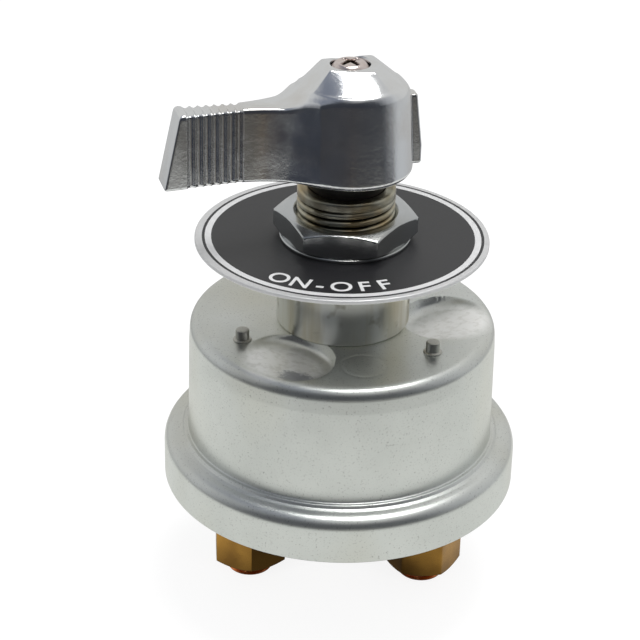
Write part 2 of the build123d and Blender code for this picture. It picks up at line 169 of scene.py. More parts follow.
# Floor
# Pale table top that keeps the switch's shadow. For glossy rays it glows with a painted reflection map: a
# white sheet with a painted shadow close to the switch, on a table painted dark in front and to the left,
# bright to the right and pale far off.
floor_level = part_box("terminal_stud_left")[0].z
floor_corners = [(-4, -4, 0), (4, -4, 0), (4, 4, 0), (-4, 4, 0)]
painted_sheet_shadow = (0.020, 0.038)
sheet_edge = (0.168, 0.188)
table_end = (0.25, 0.32)
floor_mesh = bpy.data.meshes.new("floor")
floor_mesh.from_pydata(floor_corners, [], [(0, 1, 2, 3)])
floor = bpy.data.objects.new("floor", floor_mesh)
floor.location = (0, 0, floor_level)
bpy.context.scene.collection.objects.link(floor)
floor_finish = bpy.data.materials.new("floor")
floor_finish.use_nodes = True
tree = floor_finish.node_tree
tree.nodes.clear()
rays = node(tree, "LightPath")
place = node(tree, "TexCoord").outputs["Object"]
spot = node(tree, "SeparateXYZ", {"Vector": place})
around = fade(tree, maths(tree, "ARCTAN2", spot.outputs["X"], spot.outputs["Y"]), -pi, pi)
table = ramp(tree, around, [
    (0.0, (0.10, 0.09, 0.085)), (0.03, (0.05, 0.05, 0.055)), (0.10, (0.035, 0.04, 0.055)),
    (0.22, (0.04, 0.045, 0.06)), (0.32, (0.35, 0.36, 0.37)), (0.45, (0.50, 0.50, 0.50)),
    (0.62, (0.50, 0.50, 0.50)), (0.70, (0.56, 0.58, 0.60)), (0.745, (0.52, 0.54, 0.56)),
    (0.765, (0.05, 0.052, 0.06)), (0.81, (0.05, 0.05, 0.055)), (0.845, (0.17, 0.165, 0.155)),
    (0.93, (0.125, 0.12, 0.11)), (0.975, (0.105, 0.10, 0.09)), (0.988, (0.17, 0.14, 0.11)),
    (0.997, (0.05, 0.05, 0.05)),
])
horizon = ramp(tree, around, [
    (0.0, (0.05, 0.05, 0.055)), (0.17, (0.05, 0.055, 0.065)), (0.27, (0.55, 0.56, 0.57)),
    (0.50, (0.62, 0.62, 0.61)), (0.73, (0.55, 0.56, 0.57)), (0.83, (0.05, 0.055, 0.065)),
    (1.0, (0.05, 0.05, 0.055)),
])
reach = off_axis(tree, place)
# Painted shadow: the glowing sheet is dark close to the switch, where the can shades it.
sheet = blend(tree, fade(tree, reach, *painted_sheet_shadow), (0.10, 0.10, 0.10), (0.86, 0.87, 0.84))
table = blend(tree, fade(tree, reach, *table_end), table, horizon)
painted_reflection_map = blend(tree, fade(tree, reach, *sheet_edge), sheet, table)
# Painted reflection: the floor glows with this map, which the metal mirrors instead of a lit room.
painted_reflection_glow = node(tree, "Emission", {"Color": painted_reflection_map, "Strength": 0.95}).outputs[0]
paper = node(tree, "BsdfDiffuse", {"Color": (0.78, 0.78, 0.78, 1)}).outputs[0]
shown = node(tree, "BsdfDiffuse", {"Color": (0.20, 0.20, 0.20, 1)}).outputs[0]
glow = node(tree, "Emission", {"Color": (1, 1, 1, 1), "Strength": 0.86}).outputs[0]
pale = node(tree, "AddShader", {0: shown, 1: glow}).outputs[0]
bounced = node(tree, "MixShader", {0: rays.outputs["Is Glossy Ray"], 1: paper, 2: painted_reflection_glow}).outputs[0]
surface = node(tree, "MixShader", {0: rays.outputs["Is Camera Ray"], 1: bounced, 2: pale}).outputs[0]
node(tree, "OutputMaterial", {"Surface": surface})
floor_mesh.materials.append(floor_finish)


# Housing shell
# Deep drawn steel can with a wide rolled flange, bright zinc plated. Two round dents with flat slanted
# floors are pressed into its top; they are scuffed, and the left one carries a painted dark reflection. The
# rim of the flange is rolled in over the base.
pin_height = 2.3
can_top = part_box("stop_pin_left")[1].z / MM - pin_height
can_foot = can_top - 24.2
wall_top = can_top - 5
inner_top = can_top - 4.2
base_seat = can_foot - 3
flange_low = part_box("housing_shell")[0].z / MM
flange_radius = 35.49
dent = {"radius": 9.5, "tilt": 12, "chord": 5.4, "floor_round": 2.6, "circle": 21.1, "lip": 0.34,
        "wall_start": 0.04, "wall_slope": 8}
dent_places = [(-120.5, 32), (0, 152)]
press_mark = {"x": 4.3, "y": -20.1, "radius": 4.2, "depth": 0.05, "width": 0.26}


def rounded(corners, spacing=1.0, closed=True):
    """Outline of (radius, height) from corners of (radius, height, round), with arcs at the corners."""
    found = []
    count = len(corners)
    for k, (x, z, bend) in enumerate(corners):
        here = np.array((x, z), float)
        if bend == 0 or (not closed and k in (0, count - 1)):
            found.append(here)
            continue
        before = np.array(corners[k - 1][:2]) - here
        after = np.array(corners[(k + 1) % count][:2]) - here
        a, b = before / np.linalg.norm(before), after / np.linalg.norm(after)
        half = np.arccos(np.clip(a @ b, -1, 1)) / 2
        reach = bend / np.tan(half)
        centre = here + (a + b) / np.linalg.norm(a + b) * bend / np.sin(half)
        start, end = here + a * reach - centre, here + b * reach - centre
        sweep = pi - 2 * half
        side = np.sign(start[0] * end[1] - start[1] * end[0])
        steps = max(3, int(sweep / radians(12)))
        for t in np.linspace(0, sweep, steps + 1) * side:
            found.append(centre + np.array((start[0] * cos(t) - start[1] * sin(t),
                                            start[0] * sin(t) + start[1] * cos(t))))
    filled = []
    for k, point in enumerate(found):
        filled.append(point)
        if k == len(found) - 1 and not closed:
            break
        step = found[(k + 1) % len(found)] - point
        parts = int(np.linalg.norm(step) / spacing)
        filled += [point + step * i / (parts + 1) for i in range(1, parts + 1)]
    return np.array(filled)


def smooth_piece(name, points, faces, crease=42):
    """Object from points in mm and faces, with outward faces and normals that keep flat faces flat."""
    mesh = bpy.data.meshes.new(name)
    mesh.from_pydata((np.asarray(points) * MM).tolist(), [], faces)
    work = bmesh.new()
    work.from_mesh(mesh)
    bmesh.ops.remove_doubles(work, verts=work.verts, dist=1e-7)
    bmesh.ops.recalc_face_normals(work, faces=work.faces)
    work.to_mesh(mesh)
    work.free()
    mesh.shade_smooth()
    mesh.set_sharp_from_angle(angle=radians(crease))
    made = bpy.data.objects.new(name, mesh)
    bpy.context.scene.collection.objects.link(made)
    weights = made.modifiers.new("flat faces", "WEIGHTED_NORMAL")
    weights.keep_sharp = True
    return made


def turned(name, outline, sides, shape=None, closed=True, angle=0):
    """Mesh turned about Z from an outline in mm, then changed by shape(x, y, z)."""
    around = np.arange(sides) / sides * 2 * pi
    x = outline[:, 0][:, None] * np.cos(around)
    y = outline[:, 0][:, None] * np.sin(around)
    z = np.repeat(outline[:, 1][:, None], sides, axis=1)
    if shape:
        x, y, z = shape(x, y, z)
    c, s = cos(radians(angle)), sin(radians(angle))
    points = np.stack([x * c - y * s, x * s + y * c, z], axis=2).reshape(-1, 3)
    rings = len(outline)
    first = np.arange(rings if closed else rings - 1)[:, None]
    here, after = np.arange(sides)[None, :], (np.arange(sides)[None, :] + 1) % sides
    next_ring = (first + 1) % rings
    quads = np.stack([first * sides + here, next_ring * sides + here,
                      next_ring * sides + after, first * sides + after], axis=2).reshape(-1, 4).tolist()
    if not closed:
        quads += [list(range(sides)), list(range(rings * sides - 1, (rings - 1) * sides - 1, -1))]
    return smooth_piece(name, points, quads)


def fit_out(piece, finish, body, material_slot, *nodes):
    """Gives a piece its finish, its body and the nodes that it stands for."""
    piece.data.materials.clear()
    piece.data.materials.append(finish)
    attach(piece, body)
    if nodes:
        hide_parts(*nodes)
    return piece


def softer(a, b, width):
    """The lower of two heights, with a rounded change from one to the other."""
    overlap = np.maximum(width - np.abs(a - b), 0) / width
    return np.minimum(a, b) - overlap**2 * width / 4


def pressed(x, y, z):
    """Presses the two dents and the faint round tool mark into the can's top."""
    height = z.copy()
    slope = np.tan(radians(dent["tilt"]))
    bend = dent["floor_round"]
    for place, deep in dent_places:
        dx, dy = x - dent["circle"] * cos(radians(place)), y - dent["circle"] * sin(radians(place))
        along = dx * cos(radians(deep)) + dy * sin(radians(deep))
        out = np.hypot(dx, dy)
        toe = np.clip(out - dent["radius"] + bend, 0, bend * 0.985)
        rise = bend - np.sqrt(bend**2 - toe**2)
        rise = rise + np.maximum(out - dent["radius"] + dent["wall_start"], 0) * dent["wall_slope"]
        floor_height = can_top - slope * (dent["chord"] + along) + rise
        height = np.where(out < dent["radius"] + 1.0, softer(height, floor_height, dent["lip"]), height)
    out = np.hypot(x - press_mark["x"], y - press_mark["y"])
    height = height - press_mark["depth"] * np.exp(-((out - press_mark["radius"]) / press_mark["width"])**2)
    return x, y, np.where(z > can_top - 4, height, z)


top_outline = rounded([
    (8.75, can_top, 0), (30.1, can_top, 2.3), (30.35, wall_top, 0)], spacing=0.25, closed=False)
side_outline = rounded([
    (30.35, wall_top, 0), (30.6, can_foot - 0.05, 0.35), (31.0, can_foot - 0.02, 0.15),
    (31.45, can_foot - 0.02, 0.35), (31.85, can_foot - 0.6, 0.25), (32.5, can_foot - 0.85, 0.3),
    (flange_radius, can_foot - 1.35, 2.6), (flange_radius, flange_low, 0.5),
    (32.9, flange_low, 0.3), (32.9, flange_low + 1.0, 0.2), (33.99, flange_low + 1.0, 0),
    (33.99, base_seat, 0), (29.1, base_seat, 0), (28.6, inner_top, 0.5), (8.75, inner_top, 0)],
    spacing=1.3, closed=False)
can = turned("can", np.concatenate([top_outline, side_outline[1:]]), sides=416, shape=pressed)


def metal(name, colour, roughness, metallic=1.0):
    """New material: its node tree, its shader and the piece's own coordinates."""
    material = bpy.data.materials.new(name)
    material.use_nodes = True
    tree = material.node_tree
    shader = tree.nodes["Principled BSDF"]
    shader.inputs["Base Color"].default_value = (*colour, 1)
    shader.inputs["Roughness"].default_value = roughness
    shader.inputs["Metallic"].default_value = metallic
    return material, tree, shader, node(tree, "TexCoord").outputs["Object"]


def noise(tree, place, scale, detail=3.0, roughness=0.55, stretch=None):
    """Cloudy pattern with a size in pieces per metre, drawn out along an axis if asked."""
    if stretch:
        place = node(tree, "Mapping", {"Vector": place, "Scale": stretch}).outputs[0]
    return node(tree, "TexNoise", {
        "Vector": place, "Scale": scale, "Detail": detail, "Roughness": roughness}).outputs["Fac"]


def colour_in(tree, shader, colour):
    """Links a colour to the shader."""
    tree.links.new(colour, shader.inputs["Base Color"])


def roughen(tree, shader, height, strength, distance, before=None):
    """Bump from a pattern, on top of an earlier bump if there is one."""
    inputs = {"Height": height, "Strength": strength, "Distance": distance}
    if before:
        inputs["Normal"] = before
    bump = node(tree, "Bump", inputs).outputs[0]
    tree.links.new(bump, shader.inputs["Normal"])
    return bump


def zinc(name, bright, dull, stain, roughness=0.285, metallic=1.0, specks=0.66, grain=0.35):
    """Bright zinc plate: cloudy, finely pitted and a little stained."""
    material, tree, shader, place = metal(name, bright, roughness, metallic)
    clouds = ramp(tree, noise(tree, place, 60, 4), [(0.34, 0), (0.70, 1)])
    veil = ramp(tree, noise(tree, place, 34, 2, 0.5, (1, 1, 0.4)), [(0.46, 0), (0.74, 0.7)])
    pits = ramp(tree, noise(tree, place, 2600, 4, 0.7), [(specks - 0.06, 0), (specks + 0.05, 0.6)])
    colour = blend(tree, clouds, bright, dull)
    colour = blend(tree, veil, colour, stain)
    colour_in(tree, shader, blend(tree, pits, colour, (0.20, 0.195, 0.19)))
    dulled = fade(tree, noise(tree, place, 210, 1), 0.3, 0.7, roughness, roughness + 0.04)
    tree.links.new(dulled, shader.inputs["Roughness"])
    waves = roughen(tree, shader, noise(tree, place, 240, 1, 0.5), grain, 0.00004)
    roughen(tree, shader, noise(tree, place, 1400, 1, 0.5), grain * 0.7, 0.000012, waves)
    return material


scuff_edge = (0.0065, 0.0092)
# Dark patch painted in the left dent towards its front rim: a painted reflection of dark surroundings.
painted_reflection_spot = {"place": (-0.0083, -0.0243, (can_top - 2) * MM), "edge": (0.0050, 0.0064), "ragged": 0.0045,
       "strength": 0.75}
can_metallic, dent_metallic = 0.95, 0.60
can_finish = zinc("zinc_can", (0.71, 0.73, 0.705), (0.64, 0.66, 0.635), (0.61, 0.595, 0.49),
                  metallic=can_metallic, specks=0.64, grain=0.30)
tree = can_finish.node_tree
shader = tree.nodes["Principled BSDF"]
place = node(tree, "TexCoord").outputs["Object"]
in_dents = []
for dent_turn, deep in dent_places:
    middle = (dent["circle"] * cos(radians(dent_turn)), dent["circle"] * sin(radians(dent_turn)))
    in_dents.append(fade(tree, off_axis(tree, place, middle), *scuff_edge, 1.0, 0.0))
height = node(tree, "SeparateXYZ", {"Vector": place}).outputs["Z"]
on_top = fade(tree, height, wall_top * MM, (can_top - 4.5) * MM)
scuffed = maths(tree, "MULTIPLY", maths(tree, "MAXIMUM", *in_dents), on_top)
away = node(tree, "VectorMath", {0: place, 1: painted_reflection_spot["place"]}, operation="DISTANCE").outputs["Value"]
ragged = maths(tree, "MULTIPLY", noise(tree, place, 900, 3, 0.7), painted_reflection_spot["ragged"])
# Painted dark reflection, with a ragged edge, laid over the left dent's pale scuff.
painted_reflection_mask = fade(tree, maths(tree, "ADD", away, ragged), *painted_reflection_spot["edge"], painted_reflection_spot["strength"], 0.0)
flecks = ramp(tree, noise(tree, place, 700, 2, 0.6), [(0.46, 0), (0.66, 1)])
speckled = blend(tree, flecks, (0.95, 0.95, 0.93), (0.80, 0.80, 0.77))
speckled = blend(tree, painted_reflection_mask, speckled, (0.22, 0.23, 0.26))
plain = shader.inputs["Base Color"].links[0].from_socket
colour_in(tree, shader, blend(tree, scuffed, plain, speckled))
tree.links.new(fade(tree, scuffed, 0.0, 1.0, can_metallic, dent_metallic), shader.inputs["Metallic"])
fit_out(can, can_finish, "housing", "can_zinc", "housing_shell")


# Stop pins
# Two small steel pins riveted through the can's top, one each side of the front.
pin_finish = zinc("zinc_pin", (0.60, 0.60, 0.56), (0.46, 0.45, 0.41), (0.30, 0.27, 0.22), specks=0.62)
pin_radius = 1.34
for side in ("left", "right"):
    low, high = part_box("stop_pin_" + side)
    centre = (low + high) / 2 / MM
    foot, head = low.z / MM, high.z / MM
    pin_outline = rounded([
        (0.02, foot, 0), (pin_radius, foot, 0), (pin_radius, can_top - 0.1, 0), (1.85, can_top, 0.1),
        (1.8, can_top + 0.22, 0.14), (pin_radius, can_top + 0.34, 0.1), (pin_radius, head, 0.3),
        (0.02, head, 0)], spacing=0.6, closed=False)
    pin = turned("pin_" + side, pin_outline, sides=48, closed=False)
    pin.data.transform(Matrix.Translation(Vector((centre.x, centre.y, 0)) * MM))
    fit_out(pin, pin_finish, "housing", "pin_steel", "stop_pin_" + side)


# Mounting stem
# Turned steel stem staked into the can: round shoulder below the faceplate, then a 3/4 inch thread with
# a plain collar at its end. The plating is worn and yellowed, most of all above the nut, and the thread's
# grooves carry painted shade.
stem_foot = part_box("mounting_stem")[0].z / MM
stem_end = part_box("mounting_stem")[1].z / MM
stem_radius = {"bore": 7.56, "foot": 9.58, "neck": 8.7, "shoulder": 13.09, "thread": 9.5}
thread = {"depth": 0.72, "pitch": 1.5875, "low": 0.4, "high": stem_end - 1.75}


def threaded(outer, depth, pitch, low, high):
    """Shape that cuts a rounded screw thread into the outer wall between two levels."""
    run_out = 0.5
    narrowness = 3.2

    def cut(x, y, z):
        radius = np.hypot(x, y)
        turn_angle = np.arctan2(y, x)
        wave = 0.5 + 0.5 * np.cos(2 * pi * (z / pitch - turn_angle / (2 * pi) - 0.05))
        full = np.clip((z - low) / run_out, 0, 1) * np.clip((high - z) / run_out, 0, 1)
        lower = np.where(radius > outer - 0.15, depth * wave**narrowness * full, 0)
        share = (radius - lower) / np.maximum(radius, 1e-6)
        return x * share, y * share, z
    return cut


stem_outline = rounded([
    (stem_radius["bore"], stem_foot, 0), (stem_radius["foot"], stem_foot, 0.2),
    (stem_radius["foot"], can_top - 1.5, 0), (stem_radius["neck"], can_top - 1.5, 0),
    (stem_radius["neck"], can_top + 0.02, 0), (12.85, can_top + 0.02, 0),
    (stem_radius["shoulder"], can_top + 0.34, 0.15), (stem_radius["shoulder"], 0, 0.5),
    (stem_radius["thread"], 0, 0.1), (stem_radius["thread"], stem_end - 0.01, 0.6),
    (stem_radius["bore"], stem_end - 0.01, 0.15)], spacing=0.2)
cut_stem = threaded(stem_radius["thread"], thread["depth"], thread["pitch"], thread["low"], thread["high"])
stem = turned("stem", stem_outline, sides=220, shape=cut_stem)
stem_finish, tree, shader, place = metal("stem_steel", (0.42, 0.40, 0.34), 0.285)
height = node(tree, "SeparateXYZ", {"Vector": place}).outputs["Z"]
bands = ramp(tree, noise(tree, place, 120, 4, 0.55, (1.0, 1.0, 0.12)), [(0.42, 0), (0.58, 1)])
worn = noise(tree, place, 260, 2)
shoulder = blend(tree, bands, (0.72, 0.73, 0.69), (0.50, 0.46, 0.34))
shoulder = blend(tree, ramp(tree, worn, [(0.60, 0), (0.72, 0.6)]), shoulder, (0.24, 0.22, 0.15))
screwed = blend(tree, ramp(tree, worn, [(0.36, 0), (0.62, 1)]), (0.52, 0.50, 0.40), (0.36, 0.33, 0.24))
yellowed = ramp(tree, noise(tree, place, 120, 2), [(0.50, 0), (0.64, 0.7)])
screwed = blend(tree, yellowed, screwed, (0.52, 0.40, 0.22))
# Painted shade: the thread's grooves below the collar are coloured near black.
painted_groove_shade = fade(tree, off_axis(tree, place), 0.0089, 0.00935, 1.0, 0.0)
below_collar = fade(tree, height, (stem_end - 1.9) * MM, (stem_end - 1.6) * MM, 1.0, 0.0)
screwed = blend(tree, maths(tree, "MULTIPLY", painted_groove_shade, below_collar), screwed, (0.035, 0.033, 0.027))
colour_in(tree, shader, blend(tree, fade(tree, height, -0.0004, 0.0004), shoulder, screwed))
rings = node(tree, "TexWave", {"Vector": place, "Scale": 900.0, "Distortion": 1.0, "Detail": 2.0},
             bands_direction="Z")
roughen(tree, shader, rings.outputs["Fac"], 0.12, 0.00002)
fit_out(stem, stem_finish, "housing", "stem_steel", "mounting_stem")


# Base and gasket
# Moulded phenolic disc that carries the terminals, with a rubber gasket above it.
# The flange's lip holds both.
base_finish, tree, shader, place = metal("phenolic", (0.055, 0.035, 0.025), 0.45, 0.0)
fill = noise(tree, place, 650, 5, 0.7)
filled = ramp(tree, fill, [(0.35, 0), (0.7, 1)])
colour_in(tree, shader, blend(tree, filled, (0.050, 0.030, 0.022), (0.085, 0.058, 0.042)))
roughen(tree, shader, fill, 0.25, 0.00004)
rubber_finish, tree, shader, place = metal("rubber", (0.03, 0.03, 0.03), 0.7, 0.0)
roughen(tree, shader, noise(tree, place, 1500), 0.3, 0.00003)


def dress(node_name, finish):
    """Gives a node of the frame its finish and soft normals."""
    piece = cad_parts[node_name]
    piece.data.materials.clear()
    piece.data.materials.append(finish)
    piece.data.shade_smooth()
    piece.data.set_sharp_from_angle(angle=radians(30))


dress("base_plate", base_finish)
dress("base_gasket", rubber_finish)
dress("shaft_seal", rubber_finish)
dress("contact_carrier", base_finish)


# Terminals
# A copper stud each side with plated washers and machined brass nuts. The last nut clamps the cable.
stud = {"radius": 4.74, "depth": 0.5, "pitch": 1.5875}
stud_head = {"radius": 8.0, "height": 3.5, "flats": 14}
nut_flats = 14.3
brass_finish, tree, shader, place = metal("brass", (0.50, 0.36, 0.15), 0.25)
cast = ramp(tree, noise(tree, place, 130, 3), [(0.38, 0), (0.64, 1)])
colour_in(tree, shader, blend(tree, cast, (0.46, 0.245, 0.055), (0.30, 0.155, 0.038)))
roughen(tree, shader, noise(tree, place, 320, 3, 0.55, (1, 1, 12)), 0.2, 0.00002)
copper_finish, tree, shader, place = metal("copper", (0.85, 0.28, 0.09), 0.24)
colour_in(tree, shader, blend(tree, noise(tree, place, 500, 4), (1.0, 0.36, 0.12), (0.75, 0.20, 0.07)))
washer_finish = zinc("zinc_washer", (0.58, 0.59, 0.59), (0.44, 0.45, 0.45), (0.36, 0.34, 0.30))


def hexagon(across_flats):
    """Shape that cuts the outer wall down to six flats."""
    def cut(x, y, z):
        radius = np.hypot(x, y)
        sector = (np.arctan2(y, x) + pi / 6) % (pi / 3) - pi / 6
        limit = across_flats / 2 / np.cos(sector)
        share = softer(radius, limit, 0.16) / np.maximum(radius, 1e-6)
        return x * share, y * share, z
    return cut


def nut_outline(across_flats, bore, low, high, chamfer, lead=0.35):
    """Outline of a nut before its flats are cut, chamfered at both faces and round its bore."""
    corner = across_flats / sqrt(3)
    face = across_flats / 2 * 0.97
    rise = (corner - face) * chamfer
    steps = 9
    rim = [(face + (corner - face) * k / steps, low + rise * k / steps, 0) for k in range(steps + 1)]
    top = [(r, low + high - z, 0) for r, z, _ in reversed(rim)]
    lead_in = [(bore + lead, high, 0.1), (bore, high - lead, 0), (bore, low + lead, 0),
               (bore + lead, low, 0.1)]
    return rounded(rim + top + lead_in, spacing=0.45)


for side, corner_turn in (("left", -25), ("right", 0)):
    stud_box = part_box("terminal_stud_" + side)
    centre_x = (stud_box[0].x + stud_box[1].x) / 2
    for name, more_turn in (("cable_nut_", 0), ("lock_nut_", 20)):
        low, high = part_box(name + side)
        outline = nut_outline(nut_flats, stud["radius"] + 0.05, low.z / MM, high.z / MM, 0.5)
        piece = turned(name + side + "_hex", outline, sides=180, shape=hexagon(nut_flats),
                       angle=corner_turn + more_turn + 30)
        piece.data.transform(Matrix.Translation((centre_x, 0, 0)))
        fit_out(piece, brass_finish, "housing", "brass", name + side)
    for name in ("seat_washer_", "cable_washer_"):
        dress(name + side, washer_finish)
    dress("spring_washer_" + side, washer_finish)
    end, head_top = stud_box[0].z / MM, stud_box[1].z / MM
    head_foot = head_top - stud_head["height"]
    stud_outline = rounded([
        (0.02, end, 0), (stud["radius"], end, 0.7), (stud["radius"], head_foot, 0),
        (stud_head["radius"], head_foot, 0), (stud_head["radius"], head_top, 0.3), (0.02, head_top, 0)],
        spacing=0.24, closed=False)
    cut_thread = threaded(stud["radius"] - 0.1, stud["depth"], stud["pitch"], end + 0.3, head_foot - 9)
    cut_flats = hexagon(stud_head["flats"])
    piece = turned("stud_" + side, stud_outline, sides=96, closed=False, angle=30,
                   shape=lambda x, y, z: cut_flats(*cut_thread(x, y, z)))
    piece.data.transform(Matrix.Translation((centre_x, 0, 0)))
    fit_out(piece, copper_finish, "housing", "copper", "terminal_stud_" + side)
dress("contact_bar", copper_finish)


# Works inside the can
# Stop plate, thrust washer, rings and spring on the shaft, of plain bright steel.
steel_finish = zinc("bright_steel", (0.46, 0.47, 0.48), (0.36, 0.37, 0.38), (0.34, 0.33, 0.30), specks=0.70)
for name, material_slot in (("thrust_washer", "inner_steel"), ("stop_plate", "inner_steel"),
                            ("retaining_ring", "spring_steel"), ("contact_spring", "spring_steel"),
                            ("bar_clip", "spring_steel")):
    dress(name, steel_finish)


# Drive shaft
# Turned steel shaft, blackened and oily where it shows between the stem and the handle.
shaft_finish, tree, shader, place = metal("black_steel", (0.030, 0.028, 0.026), 0.34, 0.85)
oily = noise(tree, place, 300, 3)
colour_in(tree, shader, blend(tree, oily, (0.012, 0.011, 0.011), (0.035, 0.032, 0.028)))
roughen(tree, shader, noise(tree, place, 1200), 0.2, 0.00003)
dress("drive_shaft", shaft_finish)


# Faceplate
# Thin aluminium disc, printed satin black with a white ring and a bare rim. It sits a little to the left
# in the play of its hole, drawn down round the nut and lower at the back. Its legend names the two
# places of the lever.
plate_low, plate_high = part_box("faceplate")
plate_centre = (plate_low.x + plate_high.x) / 2
plate_radius = 28.59
plate_thickness = 0.8
hole_radius = 10.2
print_shift = 0.2
ring_edges = {"rim": 27.35, "line": 26.8, "band": 25.5}
sag = {"drop": 0.5, "slope": -0.0195, "lean": 0.005, "start": 13.4, "end": 16.4}


def sagged(x, y, z):
    """The thin plate's real set: drawn down round the nut, and lower at the back than at the front."""
    out = np.hypot(x, y)
    away = np.clip((out - sag["start"]) / (sag["end"] - sag["start"]), 0, 1)
    away = away * away * (3 - 2 * away)
    lower = sag["drop"] - away * (sag["slope"] * y + sag["lean"] * (x + plate_centre / MM))
    share = np.where(z > plate_thickness / 2, 1, away)
    return x, y, z - lower * share


plate_outline = rounded([
    (hole_radius, 0.0, 0.1), (plate_radius, 0.0, 0.2), (plate_radius, plate_thickness, 0.28),
    (hole_radius, plate_thickness, 0.1)], spacing=0.8)
plate = turned("legend_plate", plate_outline, sides=288, shape=sagged)
plate.data.transform(Matrix.Translation((plate_centre, 0, 0)))
plate_finish, tree, shader, place = metal("printed_plate", (0.05, 0.05, 0.055), 0.42, 0.0)
print_centre = (plate_centre / MM + print_shift, 0)
share = fade(tree, off_axis(tree, place, print_centre), 0.0, plate_radius * MM)
mottle = noise(tree, place, 1500, 3, 0.7)
ink = blend(tree, mottle, (0.008, 0.008, 0.009), (0.018, 0.018, 0.020))
paint = blend(tree, noise(tree, place, 700), (0.66, 0.66, 0.66), (0.56, 0.56, 0.56))
printed = ramp(tree, share, [
    (0, 0), (ring_edges["band"] / plate_radius, 1), (ring_edges["line"] / plate_radius, 0),
    (ring_edges["rim"] / plate_radius, 1)], "CONSTANT")
colour_in(tree, shader, blend(tree, printed, ink, paint))
bare = ramp(tree, share, [(0, 0), (ring_edges["rim"] / plate_radius, 0.5)], "CONSTANT")
tree.links.new(bare, shader.inputs["Metallic"])
roughen(tree, shader, mottle, 0.15, 0.00003)
fit_out(plate, plate_finish, "housing", "plate_print", "faceplate")
back_finish, tree, shader, place = metal("bare_aluminium", (0.86, 0.86, 0.85), 0.45, 0.25)
brushed = noise(tree, place, 300, 3, 0.6, (1, 14, 1))
colour_in(tree, shader, blend(tree, brushed, (0.90, 0.90, 0.89), (0.80, 0.80, 0.79)))
plate.data.materials.append(back_finish)
for face in plate.data.polygons:
    face.material_index = 0 if face.normal.z > -0.7 else 1

letter = {"height": 3.75, "capital": 0.7, "foot": 24.5, "bolder": 0.07, "thickness": 0.012, "level": 0.81}
letter_places = (("O", -120.5), ("N", -109.4), ("-", -99.8), ("O", -90), ("F", -79.2), ("F", -69.6))
print_finish, tree, shader, place = metal("white_print", (0.80, 0.80, 0.79), 0.45, 0.0)
colour_in(tree, shader, blend(tree, noise(tree, place, 900), (0.74, 0.74, 0.73), (0.62, 0.62, 0.62)))
legend_points, legend_faces = [], []
for character, letter_turn in letter_places:
    text = bpy.data.curves.new("letter", "FONT")
    text.body = character
    text.size = letter["height"] / letter["capital"] * MM
    text.align_x = "CENTER"
    text.offset = letter["bolder"] * MM
    text.extrude = letter["thickness"] * MM
    text_object = bpy.data.objects.new("letter", text)
    bpy.context.scene.collection.objects.link(text_object)
    bpy.context.view_layer.update()
    evaluated = text_object.evaluated_get(bpy.context.evaluated_depsgraph_get())
    cut_out = bpy.data.meshes.new_from_object(evaluated)
    spin = Matrix.Rotation(radians(letter_turn) + pi / 2, 4, "Z")
    seat = Matrix.Translation((plate_centre + print_shift * MM, 0, letter["level"] * MM)) @ spin
    seat = seat @ Matrix.Translation((0, -letter["foot"] * MM, 0))
    start = len(legend_points)
    for corner in cut_out.vertices:
        x, y, z = seat @ corner.co / MM
        legend_points.append((x, y, float(sagged(x - plate_centre / MM, y, z)[2])))
    legend_faces += [[start + i for i in face.vertices] for face in cut_out.polygons]
    bpy.data.objects.remove(text_object)
    bpy.data.meshes.remove(cut_out)
legend = smooth_piece("legend", legend_points, legend_faces, crease=30)
fit_out(legend, print_finish, "housing", "plate_print")


# Panel nut
# Thin hexagon nut pressed from steel and bright zinc plated, chamfered round at both faces. The round
# washer face below it, a piece of its own here, bears on the faceplate.
nut_low, nut_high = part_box("panel_nut")
panel_flats = 24.4
panel_bore = 9.56
panel_outline = nut_outline(panel_flats, panel_bore, nut_low.z / MM + 0.1, nut_high.z / MM,
                            chamfer=0.45, lead=0.62)
nut = turned("stem_nut", panel_outline, sides=240, shape=hexagon(panel_flats), angle=-4 + 30)
washer_face = {"radius": 12.8, "bore": 10.1, "height": 0.75}
face_low = nut_low.z / MM - sag["drop"] + 0.02
face_high = face_low + washer_face["height"]
face_outline = rounded([
    (washer_face["bore"], face_low, 0), (washer_face["radius"], face_low, 0.3),
    (washer_face["radius"], face_high, 0.25), (washer_face["bore"], face_high, 0)], spacing=0.5)
nut_face = turned("stem_nut_washer_face", face_outline, sides=144)
nut_finish = zinc("zinc_nut", (0.60, 0.62, 0.63), (0.48, 0.50, 0.51), (0.42, 0.41, 0.37),
                  roughness=0.20, specks=0.70, grain=0.25)
fit_out(nut, nut_finish, "housing", "nut_steel", "panel_nut")
fit_out(nut_face, nut_finish, "housing", "nut_steel")


# Handle
# One chromed zinc casting: round hub with a faceted crown, a waisted lever with a ribbed grip,
# and a short lug opposite. It sits on the shaft's square and is held by one screw.
handle_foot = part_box("handle")[0].z / MM
lever_turn = 197
hub = {"radius": 11.5, "shift": -0.6, "land": 21.5, "foot": 11.95, "draft": 0.062, "back_drop": 1.5}
crown_faces = [
    ((4.8, -3.1), (4.8, 3.1), (-26, 26), (16.7, 15.6, 16.7)),
    ((4.8, 3.1), (-3.0, 6.0), (26, 120), (16.7, 17.1, 16.8)),
    ((-3.0, 6.0), (-5.2, 2.6), (120, 160), (16.8, 16.5, 16.2)),
    ((-5.2, 2.6), (-5.2, -2.6), (160, 200), (16.2, 15.8, 16.2)),
]
arm = {"top": 14.75, "waist": 1.6, "flare": 6.3, "rate": 0.19, "start": 7.9}
grip = {"start": 20.9, "half": 2.25, "flare": 0.0544, "foot": 36.15, "lean": 0.21}
rib = {"pitch": 1.55, "count": 7, "radius": 0.66, "depth": 0.52}
lug = {"half": 1.5, "top": 14.6, "foot": 14.4, "lean": 0.121, "low": 0.3}
bead = {"height": 0.17, "inside": 0.62, "width": 0.36, "end": 9.5}
bore = {"radius": 3.75, "depth": 2.75, "hole": 2.4}
square = {"half": 4.58, "top": 14.37}
table_step = 0.1
table_low = (-16.4, -13.2)


